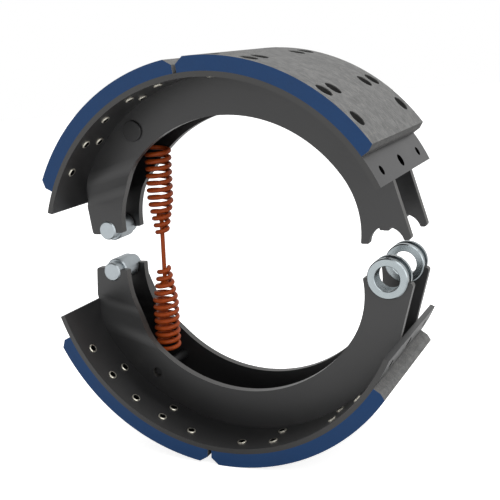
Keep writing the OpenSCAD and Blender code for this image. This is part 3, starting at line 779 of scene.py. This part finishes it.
def tube_faces(first, rings, count):
    """Faces of a closed tube of rings with count points each; first is its first point's number."""
    faces = []
    for i in range(rings - 1):
        a, b = first + i * count, first + (i + 1) * count
        faces += [(a + k, a + (k + 1) % count, b + (k + 1) % count, b + k) for k in range(count)]
    faces.append(tuple(first + k for k in range(count - 1, -1, -1)))
    faces.append(tuple(first + (rings - 1) * count + k for k in range(count)))
    return faces


def rings_along(path, radius):
    """Rings of points round a path, each turned as little as the path allows."""
    last = len(path) - 1
    rings, sideways = [], Vector((0, 1, 0))
    for i, point in enumerate(path):
        heading = (path[min(i + 1, last)] - path[max(i - 1, 0)]).normalized()
        sideways = (sideways - sideways.dot(heading) * heading).normalized()
        other = heading.cross(sideways)
        r = radius * (END_SHRINK if i in (0, last) else 1.0)
        rings.append([point + r * (math.cos(a) * sideways + math.sin(a) * other)
                      for a in (2 * math.pi * k / SIDES for k in range(SIDES))])
    return rings


print("a ring has", SIDES, "points, and an end ring is", END_SHRINK, "as wide")

# %% [markdown]
# With its rings and faces the wire becomes a mesh, which gets the spring's paint.

# %% Sweep the wires
END_STEP = 0.35


def smooth_piece(name, points, faces, material):
    """A smooth mesh object of one material; points are in metres."""
    mesh = bpy.data.meshes.new(name)
    mesh.from_pydata([tuple(point) for point in points], [], faces)
    mesh.shade_smooth()
    mesh.materials.append(material)
    return put_in_scene(name, mesh)


def swept_tube(name, path, radius):
    """A closed tube along path in millimetres, with both end edges broken."""
    points = [path[0], path[0].lerp(path[1], END_STEP)] + path[1:-1]
    points += [path[-1].lerp(path[-2], END_STEP), path[-1]]
    rings = rings_along(points, radius)
    faces = tube_faces(0, len(rings), SIDES)
    tube = smooth_piece(name, [v * MM for ring in rings for v in ring], faces, spring_paint)
    return tube


upper_wire = swept_tube("upper_return_spring_wire", upper_path, WIRE_D / 2)
lower_wire = swept_tube("lower_return_spring_wire", lower_path, WIRE_D / 2)
print("spring faces:", len(upper_wire.data.polygons) + len(lower_wire.data.polygons))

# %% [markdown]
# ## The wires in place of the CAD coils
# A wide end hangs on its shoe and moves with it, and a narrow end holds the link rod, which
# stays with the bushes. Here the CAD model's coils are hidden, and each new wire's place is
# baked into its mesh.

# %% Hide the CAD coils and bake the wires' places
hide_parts("upper_return_spring")
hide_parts("lower_return_spring")
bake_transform(upper_wire)
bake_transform(lower_wire)

# %% [markdown]
# ## Weld beads
# The webs are welded to the table from the inside, where the two plates meet between the webs.
# A weld could be a bump in the paint, but it has a real size: about 4 mm on each leg, laid in
# runs with gaps, with a ripple for every small pool of metal. So each run is a mesh, swept
# round the table with a rippled section and tapered ends, and painted with the shoe.

# %% Shape one weld run
WELD_LEG, RIPPLE = 4.2, 2.6
STEPS_PER_RIPPLE = 4
WAVE, SCATTER = 0.06, 0.05
END_LEG, END_SHARPNESS = 0.35, 24
WEB_INNER_Y = 27.0
BEAD_SHAPE = ((0.35, 1.0), (-0.32, 0.96), (-0.62, 0.74), (-0.80, 0.48), (-0.97, 0.16), (-1.0, -0.3),
              (0.35, -0.3))


def bead_leg(u, step, rng):
    """Leg of the weld at share u of a run: low at both ends, with a wave for each ripple."""
    swell = 0.5 + 0.5 * math.sqrt(max(0.0, 1 - abs(2 * u - 1) ** END_SHARPNESS))
    wave = WAVE * abs(math.sin(math.pi * step / STEPS_PER_RIPPLE)) + SCATTER * (rng.random() - 0.5)
    return WELD_LEG * (END_LEG + (1 - END_LEG) * swell) * (1 + wave)


def bead_section(angle, leg, turned_over, side):
    """Points of the weld's section at an angle round the arc's centre."""
    for radial, across in BEAD_SHAPE:
        r = TABLE_INNER_R + radial * leg
        z = r * math.sin(angle)
        yield Vector((r * math.cos(angle), side * (WEB_INNER_Y - across * leg), -z if turned_over else z))


print("a ripple every", RIPPLE, "mm")

# %% [markdown]
# A welder lays short runs with gaps, so that the plates don't warp. Each web gets three runs,
# given by their angles round the table, and the same faces as the wires join their sections.

# %% Lay the weld runs
RUNS = ((40, 64), (76, 102), (114, 140))


def weld_runs(name, body, arc, turned_over, side):
    """Weld between a table and the inner face of one web; side is -1 for the front web."""
    rng = random.Random(name)
    points, faces = [], []
    for start, stop in RUNS:
        steps = int(math.radians(stop - start) * TABLE_INNER_R / (RIPPLE / STEPS_PER_RIPPLE))
        first = len(points)
        for i in range(steps + 1):
            angle = math.radians(start + (stop - start) * i / steps)
            section = bead_section(angle, bead_leg(i / steps, i, rng), turned_over, side)
            points += [point * MM + arc for point in section]
        faces += tube_faces(first, steps + 1, len(BEAD_SHAPE))
    bead = smooth_piece(name, points, faces, web_paint)
    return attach(bead, body)


for side, place_of_web in ((-1, "front"), (1, "rear")):
    weld_runs(f"upper_{place_of_web}_weld", "upper_shoe", UPPER_ARC, False, side)
    weld_runs(f"lower_{place_of_web}_weld", "lower_shoe", LOWER_ARC, True, side)
print("weld runs per web:", len(RUNS))

# %% [markdown]
# ## Studio floor
# The shoes stand on a plain pale floor in a bright room, as in a catalogue. The floor is a wide
# disc at the height of the lower lining. The camera sees it plain white. In reflections the
# floor ahead of the shoes glows a little, as a white card laid there would. Diffuse light from
# the floor is held back, so that the hollows between the plates stay dark. A floor that the
# camera couldn't see would be simpler, but the shoes would lose their shadow.

# %% Build the floor
FLOOR_R, FLOOR_PARTS, FLOOR_DROP = 6.0, 64, 0.0002
SEEN_TONE, DIFFUSE_TONE = (0.75, 0.75, 0.75), (0.25, 0.25, 0.25)
SEEN_LIFT, MIRRORED_LIFT = 0.8, 0.65
CARD_FROM, CARD_FULL = -0.1, -0.35

floor_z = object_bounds()[0].z
floor_mesh = bpy.data.meshes.new("floor")
floor_mesh.from_pydata([(DRUM_AXIS.x + FLOOR_R * math.cos(2 * math.pi * k / FLOOR_PARTS),
                         FLOOR_R * math.sin(2 * math.pi * k / FLOOR_PARTS), floor_z - FLOOR_DROP)
                        for k in range(FLOOR_PARTS)], [], [tuple(range(FLOOR_PARTS))])
floor = put_in_scene("floor", floor_mesh)
floor_paint, tree, shader = new_material("floor_paint")
calc = partial(math_node, tree)
rays = place(tree, "LightPath")
feed(tree, shader.inputs["Base Color"], mix_colors(tree, rays["Is Diffuse Ray"], SEEN_TONE, DIFFUSE_TONE))
ahead = axes_of(tree, place(tree, "TexCoord")["Object"])["Y"]
card = ramp(tree, ahead, CARD_FROM, CARD_FULL)
mirrored = calc("MULTIPLY", calc("MULTIPLY", rays["Is Glossy Ray"], card), MIRRORED_LIFT)
seen = calc("MULTIPLY", rays["Is Camera Ray"], SEEN_LIFT)
feed(tree, shader.inputs["Emission Strength"], calc("MAXIMUM", mirrored, seen))
shader.inputs["Emission Color"].default_value = (1, 1, 1, 1)
shader.inputs["Specular IOR Level"].default_value = 0.1
shader.inputs["Roughness"].default_value = 0.9
floor.data.materials.append(floor_paint)
print("floor at", round(floor_z, 4))

# %% [markdown]
# ## Studio sky
# Satin paint shows what it mirrors, so the room matters more than the lamps. In front it is
# bright along the horizon and dim overhead, and behind it is even. A photograph of a studio
# would do the same, but two ramps over the direction are easier to tune. The camera itself
# sees plain white.

# %% Build the sky
HORIZON_SKY, OVERHEAD_SKY, REAR_SKY = 1.35, 0.3, 0.9
HORIZON_UP_TO, OVERHEAD_FROM = 0.12, 0.5
FRONT_UP_TO, REAR_FROM = -0.2, 0.35

world = bpy.data.worlds.new("studio")
bpy.context.scene.world = world
world.use_nodes = True
tree = world.node_tree
sky = tree.nodes["Background"]
toward = axes_of(tree, place(tree, "TexCoord")["Generated"])
front = ramp(tree, toward["Z"], HORIZON_UP_TO, OVERHEAD_FROM, HORIZON_SKY, OVERHEAD_SKY, smooth=True)
behind = ramp(tree, toward["Y"], FRONT_UP_TO, REAR_FROM, smooth=True)
room = place(tree, "Mix", inputs={0: behind, 2: front, 3: REAR_SKY})[0]
rays = place(tree, "LightPath")["Is Camera Ray"]
feed(tree, sky.inputs["Strength"], math_node(tree, "MAXIMUM", room, rays))
sky.inputs["Color"].default_value = (1, 1, 1, 1)
print("sky nodes:", len(tree.nodes))

# %% [markdown]
# ## Studio lights
# Three large soft lights give the shapes a lit and a shaded side. Small ones would make hard
# shadows and sharp spots on the satin paint. All three face the middle of the shoes.

# %% Hang the lights
KEY_LIGHT = ("key", (1.2, -1.2, 1.7), 1.4, 14)
TOP_LIGHT = ("top", (0.5, 0.3, 1.9), 1.6, 24)
SIDE_LIGHT = ("side", (1.7, -0.7, 0.5), 1.2, 7)


def softbox(name, position, size, watts):
    """A square light that faces the middle of the shoes."""
    light = bpy.data.lights.new(name, "AREA")
    light.shape, light.size, light.energy = "SQUARE", size, watts
    lamp = put_in_scene(name, light)
    lamp.location = position
    lamp.rotation_mode = "QUATERNION"
    lamp.rotation_quaternion = (Vector(position) - DRUM_AXIS).to_track_quat("Z", "Y")


for name, position, size, watts in (KEY_LIGHT, TOP_LIGHT, SIDE_LIGHT):
    softbox(name, position, size, watts)
    print("light", name, "of", watts, "W and", size, "m wide")
bpy.context.scene.view_settings.view_transform = "Standard"
